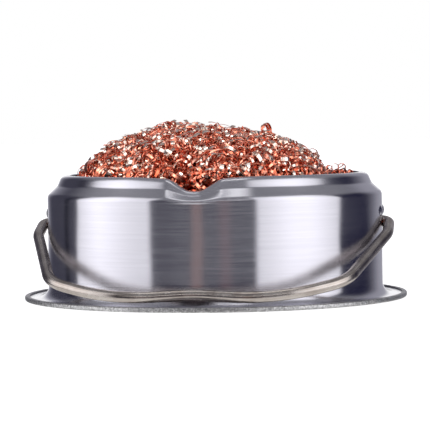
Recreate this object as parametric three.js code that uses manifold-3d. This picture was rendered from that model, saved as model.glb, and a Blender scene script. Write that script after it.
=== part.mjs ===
// Soldering-iron rest and tip cleaner: a drawn steel cup on a hemmed base plate,
// a ball of copper ribbon wool inside it, and a bent-wire bail hinged in its wall.
// Millimetres, +Z up, origin at the bottom centre of the base, front at -Y.
import * as THREE from 'three';
import * as BufferGeometryUtils from 'three/addons/utils/BufferGeometryUtils.js';
import Module from 'manifold-3d';

const wasm = await Module();
wasm.setup();

// Cup
const WALL_RADIUS = 39.4;        // outside of the straight wall
const RIM_HEIGHT = 29.2;         // top of the rolled rim above the table
const SHEET = 0.4;               // steel thickness
const FLANGE_WIDTH = 5.6;        // from the wall to the outer edge of the hem
const FLANGE_FILLET = 2.5;       // outside radius between wall and flange
const SHOULDER_DROP = 4.6;       // from the top of the rim down to the end of the straight wall
const SHOULDER_INSET = 2.35;     // how far the shoulder steps in
const SHOULDER_RISE = 2.15;      // how far it climbs while it steps in
const RIM_INSET = 3.4;           // from the wall to the outer corner of the rim
const LIP_WIDTH = 1.6;           // the rim's turned-in lip
const SHOULDER_FILLET = 1.5;
const RIM_FILLET = 1.35;

// Rest notch pressed into the front of the rim
const NOTCH_DEPTH = 2.75;
const NOTCH_HALF_WIDTH = 5.95;
const NOTCH_FLOOR = 1.55;        // half width of its floor
const NOTCH_EASE = 0.6;          // how softly its straight flanks start and end
const NOTCH_SPLAY = 0.7;         // how far the pressed sheet leans outwards
const NOTCH_RUNOUT = 1.2;        // how far below the shoulder the sheet starts to give
const DROOP_DEPTH = 0.5;         // the rim sinks a little on both sides of the notch
const DROOP_HALF_WIDTH = 17;

// Base plate, hemmed round the flange
const PLATE = 0.3;
const HEM_WIDTH = 1.1;
const HEM_GAP = 0.05;            // free space above and below the flange inside the hem
const HEM_EDGE_GAP = 0.3;        // free space between the flange's edge and the hem
const HEM_CORNER = 0.25;

// Bail
const WIRE = 2.6;
const PIVOT_DROP = 11.5;         // from the top of the rim down to the pivot
const PIVOT_CLEARANCE = 0.35;    // all round the wire in its hole
const DETENT_GAP = 0.08;         // between an arm and the detent bumps it swings past
const WIRE_TAIL = 2.4;           // wire inside the wall
const PIVOT_BEND = 2.0;
const KNEE_PAST = 0.8;           // the upright arms stay straight this far past the wall's top
const KNEE_BEND = 12;
const ARM_TAPER = 7.9;           // how far each arm leans in towards the front run
const CORNER_SETBACK = 8.7;      // from the front run back to the corner
const CORNER_BEND = 12;
const EASE_X = 20.6;             // where the front run starts to curve back
const EASE_SETBACK = 0.85;
const EASE_BEND = 30;
const TROUGH_X = 11.4;           // the wave that holds an iron: two troughs and a dip between
const SADDLE_DIP = 1.6;
const WAVE_BEND = 24;
const SADDLE_GAP = 0.3;          // between the lowered bail and the wall
const BAIL_GAP = 1.2;            // between the lowered bail and the flange

// Detent bumps, pressed outwards on both sides of each pivot
const DETENT_RADIUS = 1.3;
const DETENT_HEIGHT = 0.45;
const DETENT_SIDE = 4.1;         // along the wall, either way from the pivot
const DETENT_RISE = 2.5;         // above the pivot

// Copper wool
const WOOL_MOUTH_GAP = 1.4;      // between the ball's left side and the cup's lip
const WOOL_CROWN = 12.1;         // how far the wool stands above the rim
const WOOL_BELLY = 15;           // height of its widest part
const WOOL_FLOOR_GAP = 0.3;
const WOOL_CUT = 0.86;           // how much of the lower half is left above its flat bottom
const WOOL_SIDE = 2;             // the ball sits a little to the left
const WOOL_LEAN = 4;             // and its crown leans further left

const RING_STEPS = 72;
const FRONT_CROWDING = 0.5;      // packs the wall's facets closer at the notch

const flangeRadius = WALL_RADIUS + FLANGE_WIDTH;
const hemHeight = 2 * PLATE + 2 * HEM_GAP + SHEET;
const flangeLevel = PLATE + HEM_GAP + SHEET / 2;
const wallTop = RIM_HEIGHT - SHOULDER_DROP;
const pivotHeight = RIM_HEIGHT - PIVOT_DROP;
const bumpX = (WALL_RADIUS + DETENT_HEIGHT) * Math.cos(DETENT_SIDE / WALL_RADIUS);
const armX = bumpX + DETENT_GAP + WIRE / 2;
const mouthRadius = WALL_RADIUS - RIM_INSET - LIP_WIDTH;
const woolRadius = mouthRadius - WOOL_SIDE - WOOL_MOUTH_GAP;

// ---------- helpers ----------

function finish(color, roughness, metalness) {
  return new THREE.MeshStandardMaterial({ color, roughness, metalness });
}

function named(name, geometry, material) {
  const mesh = new THREE.Mesh(geometry, material);
  mesh.name = name;
  return mesh;
}

function weld(geometry) {
  geometry.deleteAttribute('normal');
  geometry.deleteAttribute('uv');
  return BufferGeometryUtils.mergeVertices(geometry, 1e-5);
}

function solid(geometry) {
  const welded = weld(geometry);
  const mesh = new wasm.Mesh({
    numProp: 3,
    vertProperties: new Float32Array(welded.attributes.position.array),
    triVerts: new Uint32Array(welded.index.array),
  });
  return new wasm.Manifold(mesh);
}

function fromSolid(manifold) {
  const mesh = manifold.getMesh();
  const geometry = new THREE.BufferGeometry();
  geometry.setAttribute('position', new THREE.BufferAttribute(mesh.vertProperties, 3));
  geometry.setIndex(new THREE.BufferAttribute(mesh.triVerts, 1));
  geometry.computeVertexNormals();
  return geometry;
}

// A line through the corners, each corner rounded by an arc of its own radius.
// A corner is [x, y, radius, steps]; the result is a list of { point, tangent }.
function roundedLine(corners) {
  const points = corners.map(([x, y]) => new THREE.Vector2(x, y));
  const stations = [];
  const last = points.length - 1;
  const direction = (i) => points[i + 1].clone().sub(points[i]).normalize();
  stations.push({ point: points[0], tangent: direction(0) });
  for (let i = 1; i < last; i += 1) {
    const before = direction(i - 1);
    const after = direction(i);
    const turn = Math.atan2(before.cross(after), before.dot(after));
    const [, , radius, steps] = corners[i];
    const setback = radius * Math.tan(Math.abs(turn) / 2);
    const start = points[i].clone().addScaledVector(before, -setback);
    const side = Math.sign(turn) * radius;
    const centre = start.clone().add(new THREE.Vector2(-before.y, before.x).multiplyScalar(side));
    for (let k = 0; k <= steps; k += 1) {
      const angle = (turn * k) / steps;
      const tangent = before.clone().rotateAround(new THREE.Vector2(), angle);
      stations.push({ point: start.clone().rotateAround(centre, angle), tangent });
    }
  }
  stations.push({ point: points[last], tangent: direction(last - 1) });
  return stations;
}

// ---------- cup ----------

const shellLine = roundedLine([
  [flangeRadius - PLATE - HEM_EDGE_GAP, flangeLevel],
  [WALL_RADIUS - SHEET / 2, flangeLevel, FLANGE_FILLET + SHEET / 2, 4],
  [WALL_RADIUS - SHEET / 2, wallTop - SHEET / 4, SHOULDER_FILLET, 2],
  [WALL_RADIUS - SHOULDER_INSET - SHEET / 2, wallTop + SHOULDER_RISE - SHEET / 4, SHOULDER_FILLET, 1],
  [WALL_RADIUS - RIM_INSET - SHEET / 2, RIM_HEIGHT - SHEET / 2, RIM_FILLET, 3],
  [mouthRadius, RIM_HEIGHT - SHEET / 2],
]).map((station) => station.point);

// A straight ramp from 0 at start to 1 at end, with both of its corners eased.
function easedRamp(value, start, end, ease) {
  const bend = (past) => (past + Math.hypot(past, ease)) / 2;
  return (bend(value - start) - bend(value - end)) / (end - start);
}

// How deep the rim is pressed, at a distance along the rim from the middle of the notch.
function pressedDepth(distance) {
  const away = Math.abs(distance);
  const notch = 1 - easedRamp(away, NOTCH_FLOOR, NOTCH_HALF_WIDTH, NOTCH_EASE);
  const droop = 1 - THREE.MathUtils.smoothstep(away, 0, DROOP_HALF_WIDTH);
  return NOTCH_DEPTH * notch + DROOP_DEPTH * droop;
}

// The middle of the sheet at one angle from the front: everything above the run-out
// sinks in proportion to its height, and leans out where it is pressed.
function shellLineAt(angle) {
  const depth = pressedDepth(angle * (WALL_RADIUS - RIM_INSET));
  const foot = wallTop - NOTCH_RUNOUT;
  return shellLine.map((point) => {
    const share = Math.min(Math.max((point.y - foot) / (RIM_HEIGHT - foot), 0), 1);
    const lean = (NOTCH_SPLAY * share * depth) / (NOTCH_DEPTH + DROOP_DEPTH);
    return new THREE.Vector2(point.x + lean, point.y - depth * share);
  });
}

// The closed outline of the sheet: half a thickness to the right of the line going up
// from the flange to the lip, then back down on its left.
function sheetOutline(line) {
  const faces = [1, -1].map((side) => line.map((point, i) => {
    const before = line[Math.max(i - 1, 0)];
    const after = line[Math.min(i + 1, line.length - 1)];
    const along = after.clone().sub(before).normalize();
    return point.clone().add(new THREE.Vector2(along.y, -along.x).multiplyScalar((side * SHEET) / 2));
  }));
  const outline = [...faces[0], ...faces[1].reverse()];
  outline.push(outline[0].clone());
  return outline;
}

function shellRing() {
  const profile = sheetOutline(shellLine);
  const geometry = new THREE.LatheGeometry(profile, RING_STEPS);
  const position = geometry.attributes.position;
  for (let i = 0; i <= RING_STEPS; i += 1) {
    const turn = (2 * Math.PI * (i % RING_STEPS)) / RING_STEPS;
    const angle = turn - FRONT_CROWDING * Math.sin(turn);
    const fromFront = angle > Math.PI ? angle - 2 * Math.PI : angle;
    sheetOutline(shellLineAt(fromFront)).forEach((point, j) => {
      const k = i * profile.length + j;
      position.setXYZ(k, point.x * Math.sin(angle), point.y, point.x * Math.cos(angle));
    });
  }
  return geometry.rotateX(Math.PI / 2);
}

// A low round dome on the wall. Its axis points straight out of the wall.
function dome(radius, top, foot, angle) {
  const sphere = (radius * radius + DETENT_HEIGHT * DETENT_HEIGHT) / (2 * DETENT_HEIGHT);
  const sweep = Math.asin(radius / sphere);
  const profile = [new THREE.Vector2(0, foot), new THREE.Vector2(radius, foot)];
  for (let k = 0; k <= 3; k += 1) {
    const a = (sweep * (3 - k)) / 3;
    const rise = top - sphere * (1 - Math.cos(a));
    profile.push(new THREE.Vector2(k === 3 ? 0 : sphere * Math.sin(a), rise));
  }
  const geometry = new THREE.LatheGeometry(profile, 12);
  geometry.translate(0, WALL_RADIUS, 0);
  geometry.rotateZ(angle);
  return geometry.translate(0, 0, pivotHeight + DETENT_RISE);
}

function pivotHole(side) {
  const radius = WIRE / 2 + PIVOT_CLEARANCE;
  const geometry = new THREE.CylinderGeometry(radius, radius, 4 * SHEET, 20);
  geometry.rotateZ(Math.PI / 2);
  return geometry.translate(side * (WALL_RADIUS - SHEET / 2), 0, pivotHeight);
}

function cupShell() {
  let shell = solid(shellRing());
  const recessRadius = DETENT_RADIUS - SHEET / 2;
  for (const side of [1, -1]) {
    for (const way of [1, -1]) {
      const angle = (-side * Math.PI) / 2 + (way * DETENT_SIDE) / WALL_RADIUS;
      shell = shell.add(solid(dome(DETENT_RADIUS, DETENT_HEIGHT, -SHEET / 2, angle)));
      shell = shell.subtract(solid(dome(recessRadius, DETENT_HEIGHT - SHEET, -2 * SHEET, angle)));
    }
    shell = shell.subtract(solid(pivotHole(side)));
  }
  return named('cup_shell', fromSolid(shell), finish(0xb9b9c2, 0.18, 1));
}

// ---------- base plate ----------

function basePlate() {
  const inner = flangeRadius - PLATE;
  const hem = flangeRadius - HEM_WIDTH;
  const profile = [
    [0, 0],
    [flangeRadius - HEM_CORNER, 0],
    [flangeRadius, HEM_CORNER],
    [flangeRadius, hemHeight - HEM_CORNER],
    [flangeRadius - HEM_CORNER, hemHeight],
    [hem, hemHeight],
    [hem, hemHeight - PLATE],
    [inner, hemHeight - PLATE],
    [inner, PLATE],
    [0, PLATE],
  ].map(([r, z]) => new THREE.Vector2(r, z));
  const geometry = new THREE.LatheGeometry(profile, RING_STEPS).rotateX(Math.PI / 2);
  return named('base_plate', weld(geometry), finish(0x9a9a98, 0.5, 1));
}

// ---------- bail ----------

// A wire bent in one plane: its stations are used as they are, so straight
// stretches take one step and bends take several.
class BentWire extends THREE.Curve {
  constructor(stations) {
    super();
    this.stations = stations;
  }

  getPointAt(u, target = new THREE.Vector3()) {
    const { point } = this.stations[Math.round(u * (this.stations.length - 1))];
    return target.set(point.x, -point.y, 0);
  }

  getTangentAt(u, target = new THREE.Vector3()) {
    const { tangent } = this.stations[Math.round(u * (this.stations.length - 1))];
    return target.set(tangent.x, -tangent.y, 0);
  }
}

// Half of the bail in its own plane: x along the hinge, y away from it.
// The dip in the middle reaches exactly as far as the lowered bail may.
function bailHalf(reach) {
  const slope = Math.atan2(SADDLE_DIP, TROUGH_X);
  const dip = reach - WAVE_BEND * (1 / Math.cos(slope) - 1);
  const trough = dip + SADDLE_DIP;
  return [
    [WALL_RADIUS - SHEET - WIRE_TAIL, 0],
    [armX, 0, PIVOT_BEND, 5],
    [armX, wallTop - pivotHeight + KNEE_PAST, KNEE_BEND, 2],
    [armX - ARM_TAPER, trough - CORNER_SETBACK, CORNER_BEND, 5],
    [EASE_X, trough - EASE_SETBACK, EASE_BEND, 2],
    [TROUGH_X, trough, WAVE_BEND, 3],
    [0, dip, WAVE_BEND, 4],
  ];
}

function bail() {
  const restHeight = hemHeight + BAIL_GAP + WIRE / 2;
  const restReach = WALL_RADIUS + SADDLE_GAP + WIRE / 2;
  const drop = pivotHeight - restHeight;
  const half = bailHalf(Math.hypot(restReach, drop));
  const mirrored = half.slice(0, -1).map(([x, ...rest]) => [-x, ...rest]);
  const path = new BentWire(roundedLine([...half, ...mirrored.reverse()]));
  const section = new THREE.Shape();
  section.absarc(0, 0, WIRE / 2, 0, 2 * Math.PI);
  const geometry = new THREE.ExtrudeGeometry(section, {
    extrudePath: path,
    steps: path.stations.length - 1,
    curveSegments: 5,
    bevelEnabled: false,
  });
  const mesh = named('bail', weld(geometry), finish(0x8f8781, 0.3, 1));
  mesh.position.z = pivotHeight;
  mesh.rotation.x = Math.atan2(drop, restReach);
  return mesh;
}

// ---------- wool ----------

// A round cushion: above its belly the radius falls as the square root of one minus
// the cube of the height, below it the same way down to a flat bottom.
function cleaningWool() {
  const bottom = PLATE + WOOL_FLOOR_GAP;
  const top = RIM_HEIGHT + WOOL_CROWN;
  const below = (WOOL_BELLY - bottom) / WOOL_CUT;
  const radiusAt = (share) => woolRadius * Math.sqrt(1 - share ** 3);
  const profile = [new THREE.Vector2(0, bottom)];
  for (const share of [WOOL_CUT, 0.72, 0.48, 0.24]) {
    profile.push(new THREE.Vector2(radiusAt(share), WOOL_BELLY - below * share));
  }
  for (const share of [0, 0.3, 0.5, 0.66, 0.78, 0.87, 0.94, 0.98]) {
    profile.push(new THREE.Vector2(radiusAt(share), WOOL_BELLY + (top - WOOL_BELLY) * share));
  }
  profile.push(new THREE.Vector2(0, top));
  const geometry = new THREE.LatheGeometry(profile, 36).rotateX(Math.PI / 2);
  const position = geometry.attributes.position;
  for (let i = 0; i < position.count; i += 1) {
    const share = Math.max(position.getZ(i) - WOOL_BELLY, 0) / (top - WOOL_BELLY);
    position.setX(i, position.getX(i) - WOOL_SIDE - WOOL_LEAN * share * share);
  }
  return named('cleaning_wool', weld(geometry), finish(0xb4603c, 0.35, 1));
}

const station = new THREE.Group();
station.add(basePlate(), cupShell(), bail(), cleaningWool());

export default station;
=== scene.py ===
"""Soldering-iron rest and tip cleaner: a drawn steel cup on a hemmed tinplate base,
a wire bail hinged in its wall and a ball of copper ribbon wool inside.

Lengths are millimetres until a mesh is written; Blender's are metres. +Z is up, the
front is -Y, and the origin is the bottom centre of the base.
"""

import math

import bpy
import numpy as np
from mathutils import Matrix, Vector


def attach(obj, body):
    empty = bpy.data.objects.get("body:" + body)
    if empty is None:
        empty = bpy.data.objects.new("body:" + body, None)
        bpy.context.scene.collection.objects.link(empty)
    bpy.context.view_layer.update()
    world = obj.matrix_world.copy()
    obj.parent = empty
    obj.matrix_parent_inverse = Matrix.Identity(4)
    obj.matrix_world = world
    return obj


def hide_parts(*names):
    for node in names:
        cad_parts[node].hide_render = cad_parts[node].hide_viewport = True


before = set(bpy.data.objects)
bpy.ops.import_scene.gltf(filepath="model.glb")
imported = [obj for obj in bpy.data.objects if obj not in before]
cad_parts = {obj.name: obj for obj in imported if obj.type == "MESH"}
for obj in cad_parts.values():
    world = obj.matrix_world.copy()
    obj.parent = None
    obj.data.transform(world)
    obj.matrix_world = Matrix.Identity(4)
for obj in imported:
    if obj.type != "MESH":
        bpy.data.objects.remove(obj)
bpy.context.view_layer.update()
MM = 0.001


# ---------- camera ----------

CAMERA_AZIMUTH = math.radians(7.1)      # from the front towards the right
CAMERA_REACH = 519.3                    # level distance from the cup's axis
CAMERA_HEIGHT = 41.2
CAMERA_AIM = Vector((0.0, 0.0, 19.3))
CAMERA_ROLL = 0.013                     # the camera leans a little to the right
CAMERA_LENS = 184.3


def aim_camera():
    """A camera that looks at CAMERA_AIM, then turns by CAMERA_ROLL about its line of sight."""
    data = bpy.data.cameras.new("camera")
    data.lens = CAMERA_LENS
    data.sensor_width = 36.0
    data.clip_start = 0.01
    data.clip_end = 50.0
    camera = bpy.data.objects.new("camera", data)
    bpy.context.scene.collection.objects.link(camera)
    place = Vector((
        CAMERA_REACH * math.sin(CAMERA_AZIMUTH),
        -CAMERA_REACH * math.cos(CAMERA_AZIMUTH),
        CAMERA_HEIGHT,
    ))
    turn = (CAMERA_AIM - place).to_track_quat("-Z", "Y").to_matrix().to_4x4()
    roll = Matrix.Rotation(-CAMERA_ROLL, 4, "Z")
    camera.matrix_world = Matrix.Translation(place * MM) @ turn @ roll
    bpy.context.scene.camera = camera


aim_camera()
bpy.context.scene.view_settings.view_transform = "Standard"


# ---------- sizes, the same as the solid model's ----------

WALL_RADIUS = 39.4
RIM_HEIGHT = 29.2
SHEET = 0.4
FLANGE_WIDTH = 5.6
FLANGE_FILLET = 2.5
SHOULDER_DROP = 4.6
SHOULDER_INSET = 2.35
SHOULDER_RISE = 2.15
RIM_INSET = 3.4
LIP_WIDTH = 1.6
SHOULDER_FILLET = 1.5
RIM_FILLET = 1.35
NOTCH_DEPTH = 2.75
NOTCH_HALF_WIDTH = 5.95
NOTCH_FLOOR = 1.55
NOTCH_EASE = 0.6
NOTCH_SPLAY = 0.7
NOTCH_RUNOUT = 1.2
DROOP_DEPTH = 0.5
DROOP_HALF_WIDTH = 17.0
PLATE = 0.3
HEM_WIDTH = 1.1
HEM_GAP = 0.05
HEM_EDGE_GAP = 0.3
WIRE = 2.6
PIVOT_DROP = 11.5
PIVOT_CLEARANCE = 0.35
DETENT_GAP = 0.08
WIRE_TAIL = 2.4
PIVOT_BEND = 2.0
KNEE_PAST = 0.8
KNEE_BEND = 12.0
ARM_TAPER = 7.9
CORNER_SETBACK = 8.7
CORNER_BEND = 12.0
EASE_X = 20.6
EASE_SETBACK = 0.85
EASE_BEND = 30.0
TROUGH_X = 11.4
SADDLE_DIP = 1.6
WAVE_BEND = 24.0
SADDLE_GAP = 0.3
BAIL_GAP = 1.2
DETENT_RADIUS = 1.3
DETENT_HEIGHT = 0.45
DETENT_SIDE = 4.1
DETENT_RISE = 2.5

FLANGE_RADIUS = WALL_RADIUS + FLANGE_WIDTH
HEM_HEIGHT = 2 * PLATE + 2 * HEM_GAP + SHEET
FLANGE_LEVEL = PLATE + HEM_GAP + SHEET / 2
WALL_TOP = RIM_HEIGHT - SHOULDER_DROP
PIVOT_HEIGHT = RIM_HEIGHT - PIVOT_DROP
MOUTH_RADIUS = WALL_RADIUS - RIM_INSET - LIP_WIDTH
BUMP_X = (WALL_RADIUS + DETENT_HEIGHT) * math.cos(DETENT_SIDE / WALL_RADIUS)
ARM_X = BUMP_X + DETENT_GAP + WIRE / 2


# ---------- mesh helpers ----------

def smoothstep(value, low, high):
    """0 below low, 1 above high, and 3t^2 - 2t^3 between them."""
    t = np.clip((value - low) / (high - low), 0, 1)
    return t * t * (3 - 2 * t)


def outward(points, faces):
    """The same faces, all turned over if the closed surface holds a negative volume."""
    volume = 0.0
    for corners in faces:
        p = points[corners]
        for k in range(1, corners.shape[1] - 1):
            volume += np.einsum("ij,ij->", p[:, 0], np.cross(p[:, k], p[:, k + 1]))
    return [corners[:, ::-1] for corners in faces] if volume < 0 else faces


def closed_piece(name, points, faces, crease=40):
    """An object from points in millimetres and lists of faces; unused points are dropped."""
    faces = outward(points, faces)
    used, packed = np.unique(np.concatenate([f.ravel() for f in faces]), return_inverse=True)
    sides = np.concatenate([np.full(len(f), f.shape[1]) for f in faces])
    mesh = bpy.data.meshes.new(name)
    mesh.vertices.add(len(used))
    mesh.vertices.foreach_set("co", (points[used] * MM).astype(np.float32).ravel())
    mesh.loops.add(len(packed))
    mesh.loops.foreach_set("vertex_index", packed.astype(np.int32))
    mesh.polygons.add(len(sides))
    starts = np.concatenate([[0], np.cumsum(sides)[:-1]])
    mesh.polygons.foreach_set("loop_start", starts.astype(np.int32))
    mesh.polygons.foreach_set("use_smooth", np.ones(len(sides), bool))
    mesh.update(calc_edges=True)
    mesh.validate()
    mesh.set_sharp_from_angle(angle=math.radians(crease))
    piece = bpy.data.objects.new(name, mesh)
    bpy.context.scene.collection.objects.link(piece)
    return piece


def hand_over(piece, material, body, slot, *nodes):
    """Gives a piece its finish and its moving body, and hides the solids it stands for. The slot is
    not used.
    """
    piece.data.materials.append(material)
    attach(piece, body)
    if nodes:
        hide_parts(*nodes)


def ring_faces(count, rows, wrap_rows=False):
    """Quads of a grid of count columns round an axis and rows along the profile."""
    i = np.arange(count)[:, None]
    j = np.arange(rows if wrap_rows else rows - 1)[None, :]
    here, beside = i * rows, ((i + 1) % count) * rows
    up = (j + 1) % rows
    return np.stack([here + j, beside + j, beside + up, here + up], axis=-1).reshape(-1, 4)


def rounded_line(corners, step):
    """A line through corners [x, y, radius], each corner an arc that touches both sides.

    Returns points and unit tangents, at most step apart.
    """
    places = np.array([c[:2] for c in corners], float)
    heading = np.diff(places, axis=0)
    heading /= np.linalg.norm(heading, axis=1)[:, None]
    points, tangents, start = [], [], places[0]
    for k in range(len(corners) - 1):
        along = heading[k]
        if k + 2 < len(corners):
            after = heading[k + 1]
            turn = math.atan2(along[0] * after[1] - along[1] * after[0], along @ after)
            radius = corners[k + 1][2]
            stop = places[k + 1] - along * radius * math.tan(abs(turn) / 2)
        else:
            turn, radius, stop = 0.0, 0.0, places[k + 1]
        run = np.linalg.norm(stop - start)
        t = np.linspace(0, 1, max(int(math.ceil(run / step)), 1) + 1)[:, None]
        keep = t[:-1] if turn else t
        points.append(start + keep * (stop - start))
        tangents.append(np.repeat(along[None], len(keep), axis=0))
        if turn:
            count = max(int(math.ceil(radius * abs(turn) / step)), 4)
            a = np.linspace(0, turn, count + 1)[:, None]
            side = math.copysign(radius, turn)
            left = np.array([-along[1], along[0]])
            centre = stop + left * side
            points.append((centre - side * (left * np.cos(a) - along * np.sin(a)))[:-1])
            tangents.append((along * np.cos(a) + left * np.sin(a))[:-1])
            start = centre - side * (left * math.cos(turn) - along * math.sin(turn))
    return np.concatenate(points), np.concatenate(tangents)


# ---------- finishes ----------

def linear(code):
    """Linear colour from an sRGB hex code."""
    channels = [int(code[k:k + 2], 16) / 255 for k in (1, 3, 5)]
    return [c / 12.92 if c <= 0.04045 else ((c + 0.055) / 1.055) ** 2.4 for c in channels] + [1.0]


def add(tree, kind, sets=None, links=None):
    """Adds a node. sets gives its properties and input values, links its inputs' sources."""
    node = tree.nodes.new(kind)
    for key, value in (sets or {}).items():
        if isinstance(key, str) and hasattr(node, key):
            setattr(node, key, value)
        else:
            node.inputs[key].default_value = value
    for key, source in (links or {}).items():
        tree.links.new(source, node.inputs[key])
    return node


def finish(name, **sockets):
    """A material with one Principled shader; returns the material, its tree and the shader."""
    material = bpy.data.materials.new(name)
    material.use_nodes = True
    tree = material.node_tree
    shader = next(n for n in tree.nodes if n.type == "BSDF_PRINCIPLED")
    for key, value in sockets.items():
        shader.inputs[key.replace("_", " ")].default_value = value
    return material, tree, shader


def ramp(tree, source, stops):
    """A colour ramp from (position, colour) stops."""
    node = add(tree, "ShaderNodeValToRGB", links={"Fac": source})
    for k, (position, colour) in enumerate(stops):
        if k < 2:
            stop = node.color_ramp.elements[k]
        else:
            stop = node.color_ramp.elements.new(position)
        stop.position = position
        stop.color = colour
    return node.outputs["Color"]


def lathe_lines(tree, spacing, length):
    """Noise drawn out round the axis: spacing across the lines and length along them, in mm.

    The fine coordinate is height plus distance from the axis, so the lines run round
    the wall and round the flat flange alike.
    """
    place = add(tree, "ShaderNodeTexCoord").outputs["Object"]
    parts = add(tree, "ShaderNodeSeparateXYZ", links={"Vector": place})
    flat = add(tree, "ShaderNodeCombineXYZ", links={
        "X": parts.outputs["X"], "Y": parts.outputs["Y"]})
    reach = add(tree, "ShaderNodeVectorMath", {"operation": "LENGTH"}, {0: flat.outputs[0]})
    across = add(tree, "ShaderNodeMath", {"operation": "ADD"}, {
        0: reach.outputs["Value"], 1: parts.outputs["Z"]})
    joined = add(tree, "ShaderNodeCombineXYZ", links={
        "X": parts.outputs["X"], "Y": parts.outputs["Y"], "Z": across.outputs[0]})
    fitted = add(tree, "ShaderNodeMapping", {
        "Scale": (1 / (length * MM), 1 / (length * MM), 1 / (spacing * MM))},
        {"Vector": joined.outputs[0]})
    return add(tree, "ShaderNodeTexNoise", {"Scale": 1.0, "Detail": 3.0, "Roughness": 0.6},
               {"Vector": fitted.outputs[0]}).outputs["Fac"]


def drawn_steel():
    """Deep-drawn bright stainless sheet: near-mirror, cold grey-blue. The fine rings of the
    drawing die run round it and smear what it reflects up and down, but not sideways."""
    material, tree, shader = finish(
        "drawn stainless sheet", Metallic=1.0, Base_Color=linear("#cdccd4"), Roughness=0.2,
        Anisotropic=0.92, Anisotropic_Rotation=0.25)
    rings = add(tree, "ShaderNodeTangent", {"direction_type": "RADIAL", "axis": "Z"})
    tree.links.new(rings.outputs[0], shader.inputs["Tangent"])
    fine = lathe_lines(tree, 0.22, 14.0)
    broad = lathe_lines(tree, 0.5, 40.0)
    tint = ramp(tree, broad, [(0.3, linear("#cbcad2")), (0.7, linear("#d0cfd6"))])
    tree.links.new(tint, shader.inputs["Base Color"])
    gloss = add(tree, "ShaderNodeMapRange", {
        "From Min": 0.3, "From Max": 0.7, "To Min": 0.17, "To Max": 0.23}, {"Value": fine})
    tree.links.new(gloss.outputs[0], shader.inputs["Roughness"])
    bump = add(tree, "ShaderNodeBump", {"Strength": 0.5, "Distance": 0.0003 * MM},
               {"Height": fine})
    tree.links.new(bump.outputs[0], shader.inputs["Normal"])
    return material


def hemmed_tinplate():
    """Rolled tinplate crimped over the flange: dull, grainy light grey that scatters the
    light in small speckles where the die bit into it."""
    material, tree, shader = finish(
        "crimped tinplate", Metallic=1.0, Base_Color=linear("#b9b9b8"), Roughness=0.42)
    place = add(tree, "ShaderNodeTexCoord").outputs["Object"]
    grit = add(tree, "ShaderNodeTexNoise", {
        "Scale": 1 / (0.45 * MM), "Detail": 4.0, "Roughness": 0.7}, {"Vector": place})
    tint = ramp(tree, grit.outputs["Fac"], [
        (0.35, linear("#7f7f80")), (0.5, linear("#b4b4b4")), (0.68, linear("#e6e6e6"))])
    tree.links.new(tint, shader.inputs["Base Color"])
    gloss = add(tree, "ShaderNodeMapRange", {"To Min": 0.32, "To Max": 0.55},
                {"Value": grit.outputs["Fac"]})
    tree.links.new(gloss.outputs[0], shader.inputs["Roughness"])
    bump = add(tree, "ShaderNodeBump", {"Strength": 0.6, "Distance": 0.05 * MM},
               {"Height": grit.outputs["Fac"]})
    tree.links.new(bump.outputs[0], shader.inputs["Normal"])
    return material


def satin_wire():
    """Hard-drawn steel wire: satin, a warmer grey than the sheet, with faint streaks from
    the die along its length and a slightly darker, handled look in places."""
    material, tree, shader = finish(
        "drawn spring-steel wire", Metallic=1.0, Base_Color=linear("#bcb4ae"), Roughness=0.24)
    lay = add(tree, "ShaderNodeUVMap", {"uv_map": "along_wire"}).outputs["UV"]
    fitted = add(tree, "ShaderNodeMapping", {"Scale": (1 / 9.0, 1 / 0.25, 1.0)}, {"Vector": lay})
    streak = add(tree, "ShaderNodeTexNoise", {"Scale": 1.0, "Detail": 3.0},
                 {"Vector": fitted.outputs[0]}).outputs["Fac"]
    place = add(tree, "ShaderNodeTexCoord").outputs["Object"]
    patch = add(tree, "ShaderNodeTexNoise", {"Scale": 1 / (4.0 * MM), "Detail": 3.0},
                {"Vector": place}).outputs["Fac"]
    mixed = add(tree, "ShaderNodeMath", {"operation": "ADD", "use_clamp": False},
                {0: streak, 1: patch})
    halved = add(tree, "ShaderNodeMath", {"operation": "MULTIPLY", 1: 0.5},
                 {0: mixed.outputs[0]})
    tint = ramp(tree, halved.outputs[0], [
        (0.34, linear("#a0958d")), (0.5, linear("#bbb2ab")), (0.66, linear("#cec7c1"))])
    tree.links.new(tint, shader.inputs["Base Color"])
    gloss = add(tree, "ShaderNodeMapRange", {
        "From Min": 0.35, "From Max": 0.65, "To Min": 0.18, "To Max": 0.3},
        {"Value": halved.outputs[0]})
    tree.links.new(gloss.outputs[0], shader.inputs["Roughness"])
    bump = add(tree, "ShaderNodeBump", {"Strength": 0.4, "Distance": 0.004 * MM},
               {"Height": streak})
    tree.links.new(bump.outputs[0], shader.inputs["Normal"])
    return material


def copper_ribbon(name, dark, middle, light, roughness):
    """Rolled copper ribbon, curled as it was shaved: bright orange-red metal whose flat
    faces flash white, with strands here and there tarnished browner."""
    material, tree, shader = finish(
        name, Metallic=1.0, Base_Color=linear(middle), Roughness=roughness)
    place = add(tree, "ShaderNodeTexCoord").outputs["Object"]
    patch = add(tree, "ShaderNodeTexNoise", {
        "Scale": 1 / (1.6 * MM), "Detail": 4.0, "Roughness": 0.75}, {"Vector": place})
    tint = ramp(tree, patch.outputs["Fac"], [
        (0.34, linear(dark)), (0.5, linear(middle)), (0.66, linear(light))])
    tree.links.new(tint, shader.inputs["Base Color"])
    gloss = add(tree, "ShaderNodeMapRange", {
        "From Min": 0.3, "From Max": 0.7, "To Min": roughness - 0.08, "To Max": roughness + 0.08},
        {"Value": patch.outputs["Fac"]})
    tree.links.new(gloss.outputs[0], shader.inputs["Roughness"])
    return material


# ---------- cup ----------

def eased_ramp(value, start, end, ease):
    """A straight ramp from 0 at start to 1 at end; each corner is a hyperbola's bend."""
    past_start = (value - start + np.hypot(value - start, ease)) / 2
    past_end = (value - end + np.hypot(value - end, ease)) / 2
    return (past_start - past_end) / (end - start)


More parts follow.
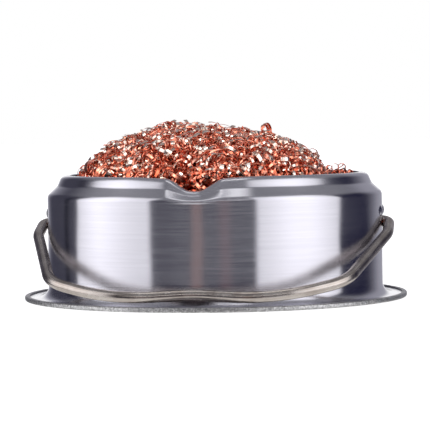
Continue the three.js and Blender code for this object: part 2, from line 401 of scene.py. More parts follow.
def pressed_depth(distance):
    """How deep the rim is pressed at a distance along it from the notch's middle: a notch
    with straight flanks, and a shallow droop on both sides that falls as a smoothstep."""
    away = np.abs(distance)
    notch = 1 - eased_ramp(away, NOTCH_FLOOR, NOTCH_HALF_WIDTH, NOTCH_EASE)
    droop = 1 - smoothstep(away, 0, DROOP_HALF_WIDTH)
    return NOTCH_DEPTH * notch + DROOP_DEPTH * droop


def column_angles():
    """Angles from the front, closer together at the notch and at both pivots."""
    quarter = math.pi / 2
    fine = np.arange(-26, 27) * 0.25 / WALL_RADIUS
    notch = np.arange(-34, 35) * 0.32 / WALL_RADIUS
    parts = [notch, quarter + fine, -quarter + fine]
    for low, high in ((notch[-1], quarter + fine[0]), (quarter + fine[-1], math.pi)):
        run = np.linspace(low, high, int((high - low) / math.radians(1.6)) + 1)[1:-1]
        parts += [run, -run]
    return np.sort(np.concatenate(parts + [np.array([math.pi])]))


def wall_rows():
    """The middle line of the sheet from the flange's edge to the lip, with even rows
    0.25 mm apart across the pivots."""
    half = SHEET / 2
    lower, _ = rounded_line([
        [FLANGE_RADIUS - PLATE - HEM_EDGE_GAP, FLANGE_LEVEL],
        [WALL_RADIUS - half, FLANGE_LEVEL, FLANGE_FILLET + half],
        [WALL_RADIUS - half, PIVOT_HEIGHT - 3.0],
    ], 0.32)
    upper, _ = rounded_line([
        [WALL_RADIUS - half, PIVOT_HEIGHT + 4.0],
        [WALL_RADIUS - half, WALL_TOP - SHEET / 4, SHOULDER_FILLET],
        [WALL_RADIUS - SHOULDER_INSET - half, WALL_TOP + SHOULDER_RISE - SHEET / 4,
         SHOULDER_FILLET],
        [WALL_RADIUS - RIM_INSET - half, RIM_HEIGHT - half, RIM_FILLET],
        [MOUTH_RADIUS, RIM_HEIGHT - half],
    ], 0.2)
    wall = lower[lower[:, 0] <= WALL_RADIUS - half + 1e-6]
    thin = wall[::4][:-1] if len(wall) > 8 else wall
    lower = np.concatenate([lower[lower[:, 0] > WALL_RADIUS - half + 1e-6], wall[:1], thin[1:]])
    level = PIVOT_HEIGHT + np.arange(-12, 16) * 0.25
    middle = np.stack([np.full(len(level), WALL_RADIUS - half), level], axis=1)
    return np.concatenate([lower, middle, upper])


def sheet_ripple(angle, height, rng):
    """Ten long waves of 0.006 mm across the wall, each with its own pitch and phase."""
    total = np.zeros(np.broadcast(angle, height).shape)
    for turns, rise, phase in zip(rng.integers(3, 22, 10), rng.uniform(0.1, 0.5, 10),
                                  rng.uniform(0, 6.28, 10)):
        total += 0.006 * np.sin(turns * angle + rise * height + phase)
    return total


def cup_shell():
    """The drawn cup. At every angle its middle line sinks and leans out where the rim is
    pressed; the two faces stand half a sheet to either side of it, and round edges join
    them. Square patches of the grid are drawn in to circles for the pivot holes. A detent
    bump stands out by (1 - r cubed) to the power 1.2, with r the distance over its radius."""
    rng = np.random.default_rng(11)
    line = wall_rows()
    angle = column_angles()
    columns, rows = len(angle), len(line)
    turn = np.repeat(angle[:, None], rows, axis=1)
    reach = np.repeat(line[None, :, 0], columns, axis=0)
    level = np.repeat(line[None, :, 1], columns, axis=0)

    patch, hole = 3.0, WIRE / 2 + PIVOT_CLEARANCE
    for side in (-1, 1):
        across = (turn - side * math.pi / 2) * WALL_RADIUS / patch
        rise = (level - PIVOT_HEIGHT) / patch
        square = np.maximum(np.abs(across), np.abs(rise))
        round_ = np.maximum(np.hypot(across, rise), 1e-9)
        near = (square < 1 - 1e-6) & (reach > WALL_RADIUS - SHEET)
        ring = np.clip((square - 0.5) / 0.5, 0, 1)
        pull = ((1 - ring) * hole / patch + ring * round_ / np.maximum(square, 1e-9)) / round_
        turn = np.where(near, side * math.pi / 2 + across * pull * patch / WALL_RADIUS, turn)
        level = np.where(near, PIVOT_HEIGHT + rise * pull * patch, level)

    depth = pressed_depth(turn * (WALL_RADIUS - RIM_INSET))
    foot = WALL_TOP - NOTCH_RUNOUT
    share = np.clip((level - foot) / (RIM_HEIGHT - foot), 0, 1)
    reach = reach + NOTCH_SPLAY * share * depth / (NOTCH_DEPTH + DROOP_DEPTH)
    on_wall = smoothstep(level, 3.0, 6.0)
    reach = reach + on_wall * sheet_ripple(turn, level, rng)
    level = level - depth * share

    for side in (-1, 1):
        for way in (-1, 1):
            along = (turn - side * math.pi / 2) * WALL_RADIUS - way * DETENT_SIDE
            off = np.hypot(along, level - PIVOT_HEIGHT - DETENT_RISE) / DETENT_RADIUS
            reach = reach + DETENT_HEIGHT * (1 - np.clip(off, 0, 1) ** 3) ** 1.2

    middle = np.stack([reach, level], axis=-1)
    along = np.gradient(middle, axis=1)
    along /= np.maximum(np.linalg.norm(along, axis=-1, keepdims=True), 1e-12)
    normal = np.stack([along[..., 1], -along[..., 0]], axis=-1)
    half = SHEET / 2
    bend = np.linspace(0, math.pi, 6)[None, 1:-1, None]
    caps = []
    for end, way in ((-1, 1), (0, -1)):
        base = middle[:, end, None]
        caps.append(base + half * (np.cos(bend) * way * normal[:, end, None]
                                   + np.sin(bend) * way * along[:, end, None]))
    outline = np.concatenate([
        middle + half * normal, caps[0], (middle - half * normal)[:, ::-1], caps[1]], axis=1)
    spread = np.concatenate([
        turn, np.repeat(turn[:, -1:], 4, axis=1), turn[:, ::-1],
        np.repeat(turn[:, :1], 4, axis=1)], axis=1)
    loop = outline.shape[1]
    points = np.stack([
        outline[..., 0] * np.sin(spread), -outline[..., 0] * np.cos(spread), outline[..., 1]],
        axis=-1).reshape(-1, 3)

    faces = ring_faces(columns, loop, wrap_rows=True)
    column, row = np.divmod(faces[:, 0], loop)
    keep = np.ones(len(faces), bool)
    bridges = []
    row0 = int(np.argmin(np.abs(line[:, 1] - PIVOT_HEIGHT + 1.5)))
    row1 = int(np.argmin(np.abs(line[:, 1] - PIVOT_HEIGHT - 1.5)))
    for side in (-1, 1):
        column0 = int(np.argmin(np.abs(angle - side * math.pi / 2 + 1.5 / WALL_RADIUS)))
        column1 = int(np.argmin(np.abs(angle - side * math.pi / 2 - 1.5 / WALL_RADIUS)))
        inside = (column >= column0) & (column < column1)
        outer = (row >= row0) & (row < row1)
        back = 2 * rows + 4 - 1 - row - 1
        inner = (back >= row0) & (back < row1)
        keep &= ~(inside & (outer | inner))
        ci, ri = np.arange(column0, column1), np.arange(row0, row1)
        ring_column = np.concatenate([
            ci, np.full(len(ri), column1), ci[::-1] + 1, np.full(len(ri), column0)])
        ring_row = np.concatenate([
            np.full(len(ci), row0), ri, np.full(len(ci), row1), ri[::-1] + 1])
        front = ring_column * loop + ring_row
        behind = ring_column * loop + 2 * rows + 4 - 1 - ring_row
        bridges.append(np.stack([
            front, np.roll(front, -1), np.roll(behind, -1), behind], axis=-1))
    return closed_piece("drawn_cup", points, [faces[keep], *bridges])


# ---------- base plate ----------

def tin_base():
    """A disc whose edge is folded up and over the flange: a profile turned round the axis.
    The folded edge carries die marks, a smoothed random height of up to 0.06 mm."""
    rng = np.random.default_rng(5)
    columns = 1200
    bottom, _ = rounded_line([
        [6.0, 0.0], [FLANGE_RADIUS - 2.2, 0.0]], 6.0)
    edge, _ = rounded_line([
        [FLANGE_RADIUS - 2.2, 0.0],
        [FLANGE_RADIUS, 0.0, 0.32],
        [FLANGE_RADIUS, HEM_HEIGHT, 0.34],
        [FLANGE_RADIUS - HEM_WIDTH, HEM_HEIGHT, 0.08],
        [FLANGE_RADIUS - HEM_WIDTH, HEM_HEIGHT - PLATE, 0.08],
        [FLANGE_RADIUS - PLATE, HEM_HEIGHT - PLATE]], 0.14)
    inside = np.array([[FLANGE_RADIUS - PLATE, PLATE], [30.0, PLATE], [6.0, PLATE]])
    line = np.concatenate([bottom[:-1], edge, inside])
    rows = len(line)
    grain = rng.normal(size=(columns, rows))
    for _ in range(2):
        grain = (grain + np.roll(grain, 1, 0) + np.roll(grain, -1, 0)) / 3
        grain[:, 1:-1] = (grain[:, 1:-1] + grain[:, :-2] + grain[:, 2:]) / 3
    grain *= 0.024 / grain.std()
    worked = smoothstep(line[:, 0], FLANGE_RADIUS - 1.3, FLANGE_RADIUS - 0.7)
    worked = worked * (line[:, 1] > -0.01) * smoothstep(line[:, 1], 0.02, 0.2)
    inner = np.arange(rows) >= rows - len(inside) - 3
    worked = np.where(inner, 0, worked)
    centre = np.array([FLANGE_RADIUS - 0.6, HEM_HEIGHT / 2])
    away = line - centre
    away /= np.maximum(np.linalg.norm(away, axis=1), 1e-9)[:, None]
    mark = np.clip(np.abs(grain), 0, 0.06)[..., None]
    shaped = line[None] - mark * (worked[:, None] * away)[None]
    angle = np.linspace(0, 2 * math.pi, columns, endpoint=False)[:, None]
    points = np.stack([
        shaped[..., 0] * np.cos(angle), shaped[..., 0] * np.sin(angle), shaped[..., 1]], axis=-1)
    points = np.concatenate([points.reshape(-1, 3), [[0, 0, 0], [0, 0, PLATE]]])
    first = np.arange(columns) * rows
    last = first + rows - 1
    hubs = [np.stack([np.roll(first, -1), first, np.full(columns, columns * rows)], axis=-1),
            np.stack([last, np.roll(last, -1), np.full(columns, columns * rows + 1)], axis=-1)]
    return closed_piece("tin_base", points, [ring_faces(columns, rows), *hubs])


# ---------- bail ----------

def wire_bail():
    """Round wire swept along a bent line in one plane, mirrored about the middle, its cut
    ends rounded over; the plane then tips down about the hinge to the rest position."""
    rest_height = HEM_HEIGHT + BAIL_GAP + WIRE / 2
    rest_reach = WALL_RADIUS + SADDLE_GAP + WIRE / 2
    drop = PIVOT_HEIGHT - rest_height
    slope = math.atan2(SADDLE_DIP, TROUGH_X)
    dip = math.hypot(rest_reach, drop) - WAVE_BEND * (1 / math.cos(slope) - 1)
    trough = dip + SADDLE_DIP
    half = [
        [WALL_RADIUS - SHEET - WIRE_TAIL, 0],
        [ARM_X, 0, PIVOT_BEND],
        [ARM_X, WALL_TOP - PIVOT_HEIGHT + KNEE_PAST, KNEE_BEND],
        [ARM_X - ARM_TAPER, trough - CORNER_SETBACK, CORNER_BEND],
        [EASE_X, trough - EASE_SETBACK, EASE_BEND],
        [TROUGH_X, trough, WAVE_BEND],
        [0, dip, WAVE_BEND],
    ]
    mirrored = [[-c[0], *c[1:]] for c in half[-2::-1]]
    path, tangent = rounded_line(half + mirrored, 0.45)
    sides, radius, soft = 28, WIRE / 2, 0.45
    cap = np.linspace(0, math.pi / 2, 6)
    shrink = radius - soft + soft * np.sin(cap)
    shrink = np.concatenate([shrink, np.full(len(path) - 2, radius), shrink[::-1]])
    step_in = soft * (1 - np.cos(cap))[:, None]
    first, last = tangent[0], tangent[-1]
    path = np.concatenate([
        path[0] + step_in * first, path[1:-1], path[-1] - step_in[::-1] * last])
    tangent = np.concatenate([
        np.repeat(first[None], 6, axis=0), tangent[1:-1], np.repeat(last[None], 6, axis=0)])
    stations = len(path)
    angle = np.linspace(0, 2 * math.pi, sides, endpoint=False)[None, :, None]
    left = np.stack([-tangent[:, 1], tangent[:, 0]], axis=-1)[:, None]
    ring = path[:, None] + shrink[:, None, None] * np.cos(angle) * left
    lift = shrink[:, None] * np.sin(angle[..., 0])
    tip = math.atan2(drop, rest_reach)
    points = np.stack([
        ring[..., 0],
        -ring[..., 1] * math.cos(tip) - lift * math.sin(tip),
        PIVOT_HEIGHT - ring[..., 1] * math.sin(tip) + lift * math.cos(tip)], axis=-1)
    points = points.reshape(-1, 3)
    i = np.arange(stations - 1)[:, None] * sides
    j = np.arange(sides)[None, :]
    beside = (j + 1) % sides
    faces = np.stack([i + j, i + beside, i + sides + beside, i + sides + j], axis=-1).reshape(-1, 4)
    hubs = np.stack([points[:sides].mean(0), points[-sides:].mean(0)])
    first, last = np.arange(sides), (stations - 1) * sides + np.arange(sides)
    count = len(points)
    ends = [np.stack([np.roll(first, -1), first, np.full(sides, count)], axis=-1),
            np.stack([last, np.roll(last, -1), np.full(sides, count + 1)], axis=-1)]
    piece = closed_piece("wire_bail", np.concatenate([points, hubs]), [faces, *ends])
    run = np.concatenate([[0], np.cumsum(np.linalg.norm(np.diff(path, axis=0), axis=1))])
    wire_chart(piece, run, sides, stations)
    return piece


def wire_chart(piece, run, sides, stations):
    """UV map in millimetres: u is the distance along the wire, v the distance round it."""
    mesh = piece.data
    vertex = np.zeros(len(mesh.loops), np.int32)
    mesh.loops.foreach_get("vertex_index", vertex)
    station = np.minimum(vertex // sides, stations - 1)
    round_ = vertex % sides
    owner = np.repeat(np.arange(len(mesh.polygons)), [len(p.vertices) for p in mesh.polygons])
    widest = np.zeros(len(mesh.polygons), np.int32)
    np.maximum.at(widest, owner, round_)
    seam = (round_ == 0) & (widest[owner] == sides - 1)
    v = np.where(seam, sides, round_) * math.pi * WIRE / sides
    chart = mesh.uv_layers.new(name="along_wire")
    chart.data.foreach_set("uv", np.stack([run[station], v], axis=-1).astype(np.float32).ravel())


# ---------- copper wool ----------

# The ball's outline: height, its left and right edges and half its depth.
BALL = np.array([
    [0.9, -21.0, 17.0, 19.0],
    [3.0, -27.5, 23.5, 25.5],
    [8.0, -31.6, 27.6, 29.6],
    [15.0, -32.8, 28.8, 30.8],
    [22.0, -32.5, 28.5, 30.5],
    [26.0, -32.0, 28.0, 30.0],
    [29.8, -31.0, 26.8, 28.9],
    [33.0, -27.6, 24.6, 26.0],
    [36.3, -24.0, 18.2, 20.8],
    [38.2, -18.6, 13.2, 15.6],
    [39.5, -15.0, 3.0, 9.5],
    [40.6, -12.6, -3.6, 4.5],
    [41.0, -9.0, -7.5, 0.9],
])


def ball_surface(along, round_):
    """Points of the ball: along runs 0 to 1 up its outline, round_ is the angle about it.
    Each level is an ellipse between the left and right edges. Three sets of waves make
    it lumpy."""
    steps = np.linalg.norm(np.diff(BALL[:, [0, 2]], axis=0), axis=1)
    marks = np.concatenate([[0], np.cumsum(steps)]) / steps.sum()
    z, left, right, depth = (np.interp(along, marks, BALL[:, k]) for k in range(4))
    lump = 1 + 0.018 * np.sin(3 * round_ + 9 * along) + 0.014 * np.sin(7 * round_ - 17 * along + 1)
    x = (left + right) / 2 + (right - left) / 2 * lump * np.cos(round_)
    y = depth * lump * np.sin(round_)
    z = z + 0.35 * np.sin(0.55 * x + 1.0) * np.cos(0.5 * y) * smoothstep(along, 0.45, 0.7)
    return np.stack([x, y, z], axis=-1)


def scatter(rng, count, low, high):
    """Even random places on the ball between two shares of its outline, with the unit
    normals there: cells of a fine grid are drawn in proportion to their area."""
    u = np.linspace(low, high, 161)
    v = np.linspace(0, 2 * math.pi, 241)
    grid = ball_surface(u[:, None], v[None, :])
    a, b = grid[1:, :-1] - grid[:-1, :-1], grid[:-1, 1:] - grid[:-1, :-1]
    area = np.linalg.norm(np.cross(a, b), axis=-1).ravel()
    cell = np.searchsorted(np.cumsum(area) / area.sum(), rng.uniform(size=count))
    row, column = np.divmod(np.minimum(cell, area.size - 1), 240)
    along = u[row] + rng.uniform(size=count) * (u[1] - u[0])
    round_ = v[column] + rng.uniform(size=count) * (v[1] - v[0])
    place = ball_surface(along, round_)
    du = ball_surface(along + 1e-3, round_) - place
    dv = ball_surface(along, round_ + 1e-3) - place
    normal = np.cross(dv, du)
    return place, normal / np.maximum(np.linalg.norm(normal, axis=1), 1e-9)[:, None]


def unit(v):
    """Vectors divided by their own lengths."""
    return v / np.maximum(np.linalg.norm(v, axis=-1, keepdims=True), 1e-9)


def ribbons(name, path, across, width, thickness, crease=50):
    """Flat ribbons along many paths at once: path is (ribbon, station, 3), across the
    direction of each ribbon's width. Each has four corners a station and closed ends."""
    count, stations, _ = path.shape
    ahead = unit(np.gradient(path, axis=1))
    across = unit(across - (across * ahead).sum(-1, keepdims=True) * ahead)
    outer = np.cross(ahead, across)
    w = np.reshape(width, (-1, 1, 1)) / 2 * across
    t = np.reshape(thickness, (-1, 1, 1)) / 2 * outer
    corners = np.stack([path + w + t, path - w + t, path - w - t, path + w - t], axis=2)
    base = (np.arange(count) * stations * 4)[:, None, None]
    k = np.arange(stations - 1)[None, :, None] * 4
    c = np.arange(4)[None, None, :]
    d = (c + 1) % 4
    walls = np.stack([base + k + c, base + k + d, base + k + 4 + d, base + k + 4 + c], axis=-1)
    first = base[:, 0, 0][:, None]
    last = first + (stations - 1) * 4
    ends = [first + np.array([[3, 2, 1, 0]]), last + np.array([[0, 1, 2, 3]])]
    faces = np.concatenate([walls.reshape(-1, 4), *ends])
    return closed_piece(name, corners.reshape(-1, 3), [faces], crease)


def curls(name, seed, count, low, high, radius, turns, width, sink, stations=14):
    """Curled ribbon: each is a short coil of growing radius about its own axis, with the
    ribbon's width along that axis, set into the ball's surface at a random slant."""
    rng = np.random.default_rng(seed)
    place, normal = scatter(rng, count, low, high)
    size = rng.uniform(*radius, count) * rng.choice([1.0, 0.7, 1.25], count)
    lean = unit(rng.normal(size=(count, 3)))
    axis = unit(np.cross(normal, lean) + 0.45 * rng.normal(size=(count, 3)))
    side = unit(np.cross(axis, normal + 0.2 * lean))
    front = np.cross(axis, side)
    deep = size * 0.55 + rng.uniform(*sink, count)
    centre = place - normal * deep[:, None]
    s = np.linspace(0, 1, stations)[None, :]
    sweep = rng.uniform(*turns, (count, 1)) * 2 * math.pi
    phase = rng.uniform(0, 2 * math.pi, (count, 1)) + sweep * s
    grow = size[:, None] * (1 + rng.uniform(-0.35, 0.5, (count, 1)) * s)
    flat = rng.uniform(0.6, 1.0, (count, 1))
    shift = rng.uniform(-1.0, 1.0, (count, 1)) * size[:, None] * 1.2 * (s - 0.5)
    path = (centre[:, None] + (grow * np.cos(phase))[..., None] * side[:, None]
            + (grow * flat * np.sin(phase))[..., None] * front[:, None]
            + shift[..., None] * axis[:, None])
    path = keep_in_mouth(path)
    across = np.repeat(axis[:, None], stations, axis=1)
    across = across + 0.3 * rng.normal(size=(count, 1, 3))
    wide = rng.uniform(*width, count)
    return ribbons(name, path, across, wide, np.full(count, 0.06))


def keep_in_mouth(path):
    """Draws in what would stand wider than the cup's mouth or lower than its floor."""
    limit = MOUTH_RADIUS - 0.7
    reach = np.hypot(path[..., 0], path[..., 1])
    drawn = np.minimum(1, (limit - 0.6 + 0.6 * np.tanh((reach - limit + 0.6) / 0.6)) / reach)
    scale = np.where(reach > limit - 0.6, drawn, 1)
    low = 0.75
    height = path[..., 2]
    level = np.where(height < low, low + 0.3 * (1 - np.exp((height - low) / 2)), height)
    return np.stack([path[..., 0] * scale, path[..., 1] * scale, level], axis=-1)


def wool_core():
    """The dense middle of the ball: its outline drawn 3 mm inwards, roughened by waves, so
    the gaps between curls end in copper coloured dark as painted shade."""
    rows, columns = 70, 150
    u = np.linspace(0.0, 1.0, rows)[:, None]
    v = np.linspace(0, 2 * math.pi, columns, endpoint=False)[None, :]
    skin = ball_surface(u, v)
    rough = np.sin(31 * v + 40 * u) * np.sin(23 * v - 67 * u) + 0.6 * np.sin(57 * u + 13 * v)
    middle = np.array([-4.0, 0.0, 17.0])
    inward = unit(skin - middle)
    points = skin - inward * (3.0 + 0.5 * rough)[..., None]
    points[..., 2] = np.maximum(points[..., 2], 1.6)
    points = points.reshape(-1, 3)
    hubs = np.stack([points[:columns].mean(0), points[-columns:].mean(0)])
    i = np.arange(rows - 1)[:, None] * columns
    j = np.arange(columns)[None, :]
    beside = (j + 1) % columns
    faces = np.stack([i + j, i + beside, i + columns + beside, i + columns + j], axis=-1)
    first, last = np.arange(columns), (rows - 1) * columns + np.arange(columns)
    count = len(points)
    ends = [np.stack([np.roll(first, -1), first, np.full(columns, count)], axis=-1),
            np.stack([last, np.roll(last, -1), np.full(columns, count + 1)], axis=-1)]
    return closed_piece(
        "wool_core", np.concatenate([points, hubs]), [faces.reshape(-1, 4), *ends], 70)


def stray_curls():
    """The curls that stand clear of the ball: a broad one at its left edge, one on its
    right shoulder, a loose thin loop behind the crown and small ones on the right rim.

    Each starts inside the ball, runs out along a curve to its own circle, and turns
    round it while the circle drifts along its axis."""
    rows = [
        # root, centre, axis, radius, turns, start, pitch, growth, width
        ((-23, -6, 27), (-27.0, -10.5, 30.9), (0.5, -0.86, 0.1), 2.2, 1.7, 2.6, 0.5, -0.35, 2.1),
        ((-22, -8, 27), (-24.4, -13.0, 30.0), (0.3, -0.9, 0.3), 1.9, 1.5, 1.6, 1.0, -0.3, 0.9),
        ((11, 3, 34), (12.2, 2.0, 39.3), (0.8, -0.5, 0.2), 1.3, 1.4, 3.6, 0.9, 0.2, 0.7),
        ((24, -4, 28), (28.8, -4.0, 30.4), (0.2, -1.0, 0.1), 0.8, 1.3, 4.1, 0.8, 0.0, 0.4),
        ((24, -2, 28), (30.2, -2.0, 30.3), (0.6, -0.8, 0.0), 0.9, 1.2, 4.1, 0.7, 0.0, 0.4),
        ((24, -6, 28), (27.6, -6.0, 30.2), (-0.3, -1.0, 0.2), 0.7, 1.3, 4.1, 0.8, 0.0, 0.4),
        ((24, -7, 27), (30.9, -8.0, 29.3), (0.8, -0.5, 0.3), 0.9, 1.4, 4.1, 1.2, 0.0, 0.5),
        ((24, -8, 27), (29.4, -10.0, 29.2), (0.5, -0.7, 0.4), 0.8, 1.5, 4.1, 1.4, 0.0, 0.5),
        ((25, -3, 27), (31.8, -4.0, 29.0), (0.9, -0.3, 0.2), 0.8, 1.4, 4.1, 1.6, 0.0, 0.5),
        ((25, -1, 27), (32.0, -1.0, 28.9), (0.4, -0.8, 0.2), 0.7, 1.6, 4.1, 1.6, 0.0, 0.5),
        ((-4, 6, 34), (0.9, 6.0, 36.4), (0.1, -1.0, 0.1), 4.3, 0.56, 3.2, 0.6, 0.0, 0.34),
    ]
    root, centre, axis = (np.array([row[k] for row in rows], float)[:, None] for k in range(3))
    radius, turns, start, pitch, growth, width = (
        np.array([row[k] for row in rows])[:, None, None] for k in range(3, 9))
    axis = unit(axis)
    side = unit(np.cross(axis, [0.0, 0.0, 1.0]))
    front = np.cross(axis, side)
    s = np.linspace(0, 1, 40)[None, :, None]
    turn = start + turns * 2 * math.pi * s
    size = radius * (1 + growth * s)
    loop = centre + size * (np.cos(turn) * side + np.sin(turn) * front) + pitch * (s - 0.5) * axis
    first = loop[:, :1]
    handle = first - 1.2 * radius * unit(loop[:, 1:2] - first)
    t = np.linspace(0, 1, 13)[None, :-1, None]
    lead = (1 - t) ** 2 * root + 2 * t * (1 - t) * handle + t ** 2 * first
    path = np.concatenate([lead, loop], axis=1)
    across = np.repeat(axis, path.shape[1], axis=1)
    return ribbons("stray_curls", path, across, width, np.full(len(rows), 0.07))


def copper_wool():
    """The ball: a core in dark copper as painted shade under six layers of curls, and a few that
    stand clear.
    """
    bright = copper_ribbon("bright copper ribbon", "#cc5c40", "#ee9074", "#fabda8", 0.28)
    # darker, redder copper on the sunken curls is painted shade, standing in for the shade deep in
    # the ball
    deep = copper_ribbon("copper ribbon darkened as painted shade", "#a8402a", "#d66a4c", "#ec9078", 0.32)
    # near-white copper on the outermost curls is a painted highlight, so their flat faces read as
    # white flashes
    painted_highlight_copper = copper_ribbon("copper ribbon lightened as painted highlight", "#f6c4aa", "#fee2d2", "#fff6ee", 0.2)
    # darkest copper for the core is painted shade at the bottom of the gaps between curls
    dark = copper_ribbon("copper core darkened as painted shade", "#8a3016", "#b4502c", "#cf6e46", 0.4)
    core = wool_core()
    hand_over(core, dark, "wool", "copper_wool", "cleaning_wool")
    pieces = [core]
    layers = [
        # the sunken layers carry the darker copper of the painted shade
        ("curls_top_deep_painted_shade", 21, 1750, 0.46, 1.0,
         (0.9, 2.2), (0.8, 1.5), (0.3, 0.7), (0.9, 3.0), deep),
        ("curls_top_bright", 22, 1750, 0.46, 1.0,
         (0.8, 1.7), (0.8, 1.7), (0.28, 0.55), (0.0, 1.3), bright),
        ("curls_top_fine", 25, 1750, 0.46, 1.0,
         (0.8, 2.0), (0.6, 1.3), (0.18, 0.34), (-0.1, 1.0), bright),
        # the outermost layer carries the near-white copper of the painted highlight
        ("curls_top_painted_highlight", 23, 1200, 0.47, 1.0,
         (0.7, 1.6), (0.3, 0.9), (0.45, 0.95), (-0.4, 0.5), painted_highlight_copper),
        # the sunken side layer carries the darker copper of the painted shade
        ("curls_side_deep_painted_shade", 24, 1750, 0.0, 0.52,
         (1.0, 2.2), (0.8, 1.4), (0.4, 0.8), (0.5, 2.4), deep),
        ("curls_side_bright", 26, 1750, 0.0, 0.52,
         (0.9, 2.0), (0.7, 1.4), (0.3, 0.7), (0.2, 1.5), bright),
    ]
    for name, seed, count, low, high, radius, turns, width, sink, material in layers:
        piece = curls(name, seed, count, low, high, radius, turns, width, sink)
        hand_over(piece, material, "wool", "copper_wool", "cleaning_wool")
        pieces.append(piece)
    stray = stray_curls()
    hand_over(stray, bright, "wool", "copper_wool", "cleaning_wool")
    return [*pieces, stray]


# ---------- studio ----------

def degrees(tree, source):
    """An angle in radians, given in degrees."""
    return add(tree, "ShaderNodeMath", {
        "operation": "MULTIPLY", 1: 180 / math.pi}, {0: source}).outputs[0]


def band(tree, source, low, high, soft_low, soft_high):
    """1 between low and high, falling smoothly to 0 over the given softness at each end."""
    rise = add(tree, "ShaderNodeMapRange", {
        "interpolation_type": "SMOOTHSTEP", "From Min": low - soft_low, "From Max": low + soft_low},
        {"Value": source})
    fall = add(tree, "ShaderNodeMapRange", {
        "interpolation_type": "SMOOTHSTEP", "From Min": high - soft_high,
        "From Max": high + soft_high, "To Min": 1.0, "To Max": 0.0}, {"Value": source})
    return add(tree, "ShaderNodeMath", {"operation": "MULTIPLY"}, {
        0: rise.outputs[0], 1: fall.outputs[0]}).outputs[0]


def studio():
    """A dim room with two tall soft boxes at the sides, a strip over the front, a narrow one
    overhead and a white sweep below and behind. Bearing is measured from the camera's side
    of the object, positive to its right; height from the floor up, both in degrees."""
    world = bpy.data.worlds.new("studio")
    bpy.context.scene.world = world
    world.use_nodes = True
    tree = world.node_tree
    tree.nodes.clear()
    way = add(tree, "ShaderNodeTexCoord").outputs["Generated"]
    turned = add(tree, "ShaderNodeMapping", {
        "vector_type": "VECTOR", "Rotation": (0, 0, -CAMERA_AZIMUTH)}, {"Vector": way})
    parts = add(tree, "ShaderNodeSeparateXYZ", links={"Vector": turned.outputs[0]})
    back = add(tree, "ShaderNodeMath", {"operation": "MULTIPLY", 1: -1.0}, {0: parts.outputs["Y"]})
    bearing = degrees(tree, add(tree, "ShaderNodeMath", {"operation": "ARCTAN2"}, {
        0: parts.outputs["X"], 1: back.outputs[0]}).outputs[0])
    height = degrees(tree, add(tree, "ShaderNodeMath", {"operation": "ARCSINE"}, {
        0: parts.outputs["Z"]}).outputs[0])
    turn_away = add(tree, "ShaderNodeMath", {"operation": "ABSOLUTE"}, {0: bearing}).outputs[0]

    layers = [
        # colour, strength, the angle round the object that bounds it, that angle's span
        # and the height's span: (from, to, softness at from, softness at to) in degrees
        ("#a8a8f0", 0.06, bearing, (94, 128, 3, 8), (-12, 30, 4, 10)),
        ("#4a4a66", 0.20, bearing, (-124, -118, 1.5, 1.5), (-12, 40, 4, 10)),
        ("#e6e5f2", 0.48, bearing, (139, 400, 14, 1), (-12, 40, 4, 20)),
        ("#e6e5f2", 0.66, bearing, (-400, -162, 1, 14), (-12, 40, 4, 20)),
        ("#ffffff", 1.10, turn_away, (168, 400, 5, 1), (-12, 12, 4, 5)),
        ("#eeeef6", 0.33, None, None, (34, 100, 10, 1)),
        ("#eeeef6", 0.26, None, None, (76, 100, 10, 1)),
        ("#ffffff", 0.90, None, None, (-100, -17, 1, 4)),
        ("#fdfcff", 1.20, bearing, (27.7, 93.6, 1.5, 1.5), (-14, 52, 4, 6)),
        ("#fdfcff", 1.20, bearing, (-107.6, -44.5, 1.5, 1.5), (-14, 52, 4, 6)),
        ("#fdfcff", 1.85, bearing, (42, 80, 16, 16), (-7.0, 46, 3, 14)),
        ("#fdfcff", 1.85, bearing, (-98, -68, 14, 20), (-7.0, 46, 3, 14)),
        ("#ffffff", 1.70, bearing, (-30, 24, 8, 3), (18, 25, 2, 3)),
        ("#ffffff", 1.7, None, None, (78, 85, 2, 2)),
        ("#967b78", 0.90, bearing, (-16.0, -9.0, 2.0, 2.0), (-12, 20, 4, 8)),
        ("#866f76", 0.74, bearing, (3.0, 10.0, 3.0, 3.0), (-12, 20, 4, 8)),
    ]
    room = [0.44 * c for c in linear("#6c6b7c")[:3]] + [1.0]
    total = add(tree, "ShaderNodeMix", {
        "data_type": "RGBA", "blend_type": "ADD", 0: 0.0, 6: room}).outputs[2]
    for colour, strength, around, span, rise in layers:
        mask = band(tree, height, *rise)
        if around is not None:
            mask = add(tree, "ShaderNodeMath", {"operation": "MULTIPLY"}, {
                0: band(tree, around, *span), 1: mask}).outputs[0]
        glow = [strength * c for c in linear(colour)[:3]] + [1.0]
        total = add(tree, "ShaderNodeMix", {"data_type": "RGBA", "blend_type": "MIX", 7: glow},
                    {0: mask, 6: total}).outputs[2]
    shine = add(tree, "ShaderNodeBackground", links={"Color": total})
    add(tree, "ShaderNodeOutputWorld", links={"Surface": shine.outputs[0]})


def wool_light(pieces):
    """A soft box above the front that is flagged off the steel, so only the wool's ribbons
    flash white in it."""
    data = bpy.data.lights.new("wool_light", "AREA")
    data.shape = "RECTANGLE"
    data.size = 0.7
    data.size_y = 0.3
    data.energy = 2.2
    light = bpy.data.objects.new("wool_light", data)
    bpy.context.scene.collection.objects.link(light)
    place = Vector((-0.05, -0.42, 0.46))
    turn = (Vector((0.0, 0.0, 0.03)) - place).to_track_quat("-Z", "Y").to_matrix().to_4x4()
    light.matrix_world = Matrix.Translation(place) @ turn
    lit = bpy.data.collections.new("wool_pieces")
    for piece in pieces:
        lit.objects.link(piece)
    light.light_linking.receiver_collection = lit


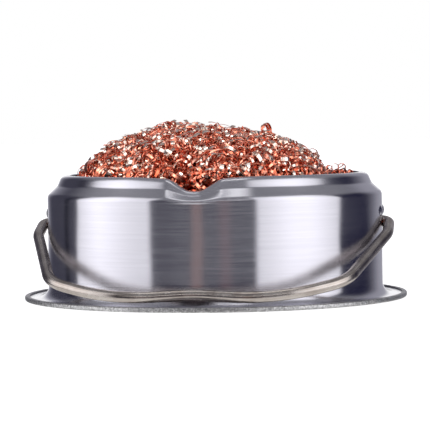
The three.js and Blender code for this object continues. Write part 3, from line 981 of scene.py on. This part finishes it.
def disc(name, radius, level, rings):
    """A flat disc in rings about the axis, for the floor."""
    columns = 96
    r = np.linspace(0, 1, rings)[None, 1:] ** 2 * radius
    a = np.linspace(0, 2 * math.pi, columns, endpoint=False)[:, None]
    points = np.stack([r * np.cos(a), r * np.sin(a), np.full((columns, rings - 1), level)], axis=-1)
    mesh = bpy.data.meshes.new(name)
    rows = rings - 1
    flat = points.reshape(-1, 3).tolist() + [[0, 0, level]]
    hub = [(i * rows, ((i + 1) % columns) * rows, len(flat) - 1) for i in range(columns)]
    mesh.from_pydata(flat, [], ring_faces(columns, rows).tolist() + hub)
    mesh.update()
    piece = bpy.data.objects.new(name, mesh)
    bpy.context.scene.collection.objects.link(piece)
    return piece


def stage():
    """A white table top and a white dome round it, which only the camera sees."""
    floor = disc("floor", 4.0, -0.0002, 12)
    material, _, _ = finish(
        "matt white table", Base_Color=linear("#f2f2f2"), Roughness=0.9,
        Emission_Color=linear("#ffffff"), Emission_Strength=0.8)
    floor.data.materials.append(material)
    floor.visible_glossy = False
    floor.visible_shadow = False
    rows, columns = 16, 48
    u = np.linspace(0.0, math.pi / 2, rows)[:, None]
    v = np.linspace(0, 2 * math.pi, columns, endpoint=False)[None, :]
    points = 4.0 * np.stack(
        [np.cos(u) * np.cos(v), np.cos(u) * np.sin(v), np.sin(u) + 0 * v], axis=-1)
    i, j = np.arange(rows - 1)[:, None] * columns, np.arange(columns)[None, :]
    beside = (j + 1) % columns
    faces = np.stack([i + j, i + beside, i + columns + beside, i + columns + j], axis=-1)
    mesh = bpy.data.meshes.new("backdrop")
    mesh.from_pydata(points.reshape(-1, 3).tolist(), [], faces.reshape(-1, 4).tolist())
    mesh.update()
    dome = bpy.data.objects.new("backdrop", mesh)
    bpy.context.scene.collection.objects.link(dome)
    glow, _, shader = finish(
        "white paper sweep", Base_Color=linear("#000000"), Roughness=1.0,
        Emission_Color=linear("#ffffff"), Emission_Strength=1.0)
    shader.inputs["Specular IOR Level"].default_value = 0.0
    dome.data.materials.append(glow)
    for ray in ("diffuse", "glossy", "transmission", "volume_scatter", "shadow"):
        setattr(dome, "visible_" + ray, False)


hand_over(cup_shell(), drawn_steel(), "base", "drawn_steel", "cup_shell")
hand_over(tin_base(), hemmed_tinplate(), "base", "tinned_plate", "base_plate")
hand_over(wire_bail(), satin_wire(), "bail", "steel_wire", "bail")
wool_light(copper_wool())
studio()
stage()
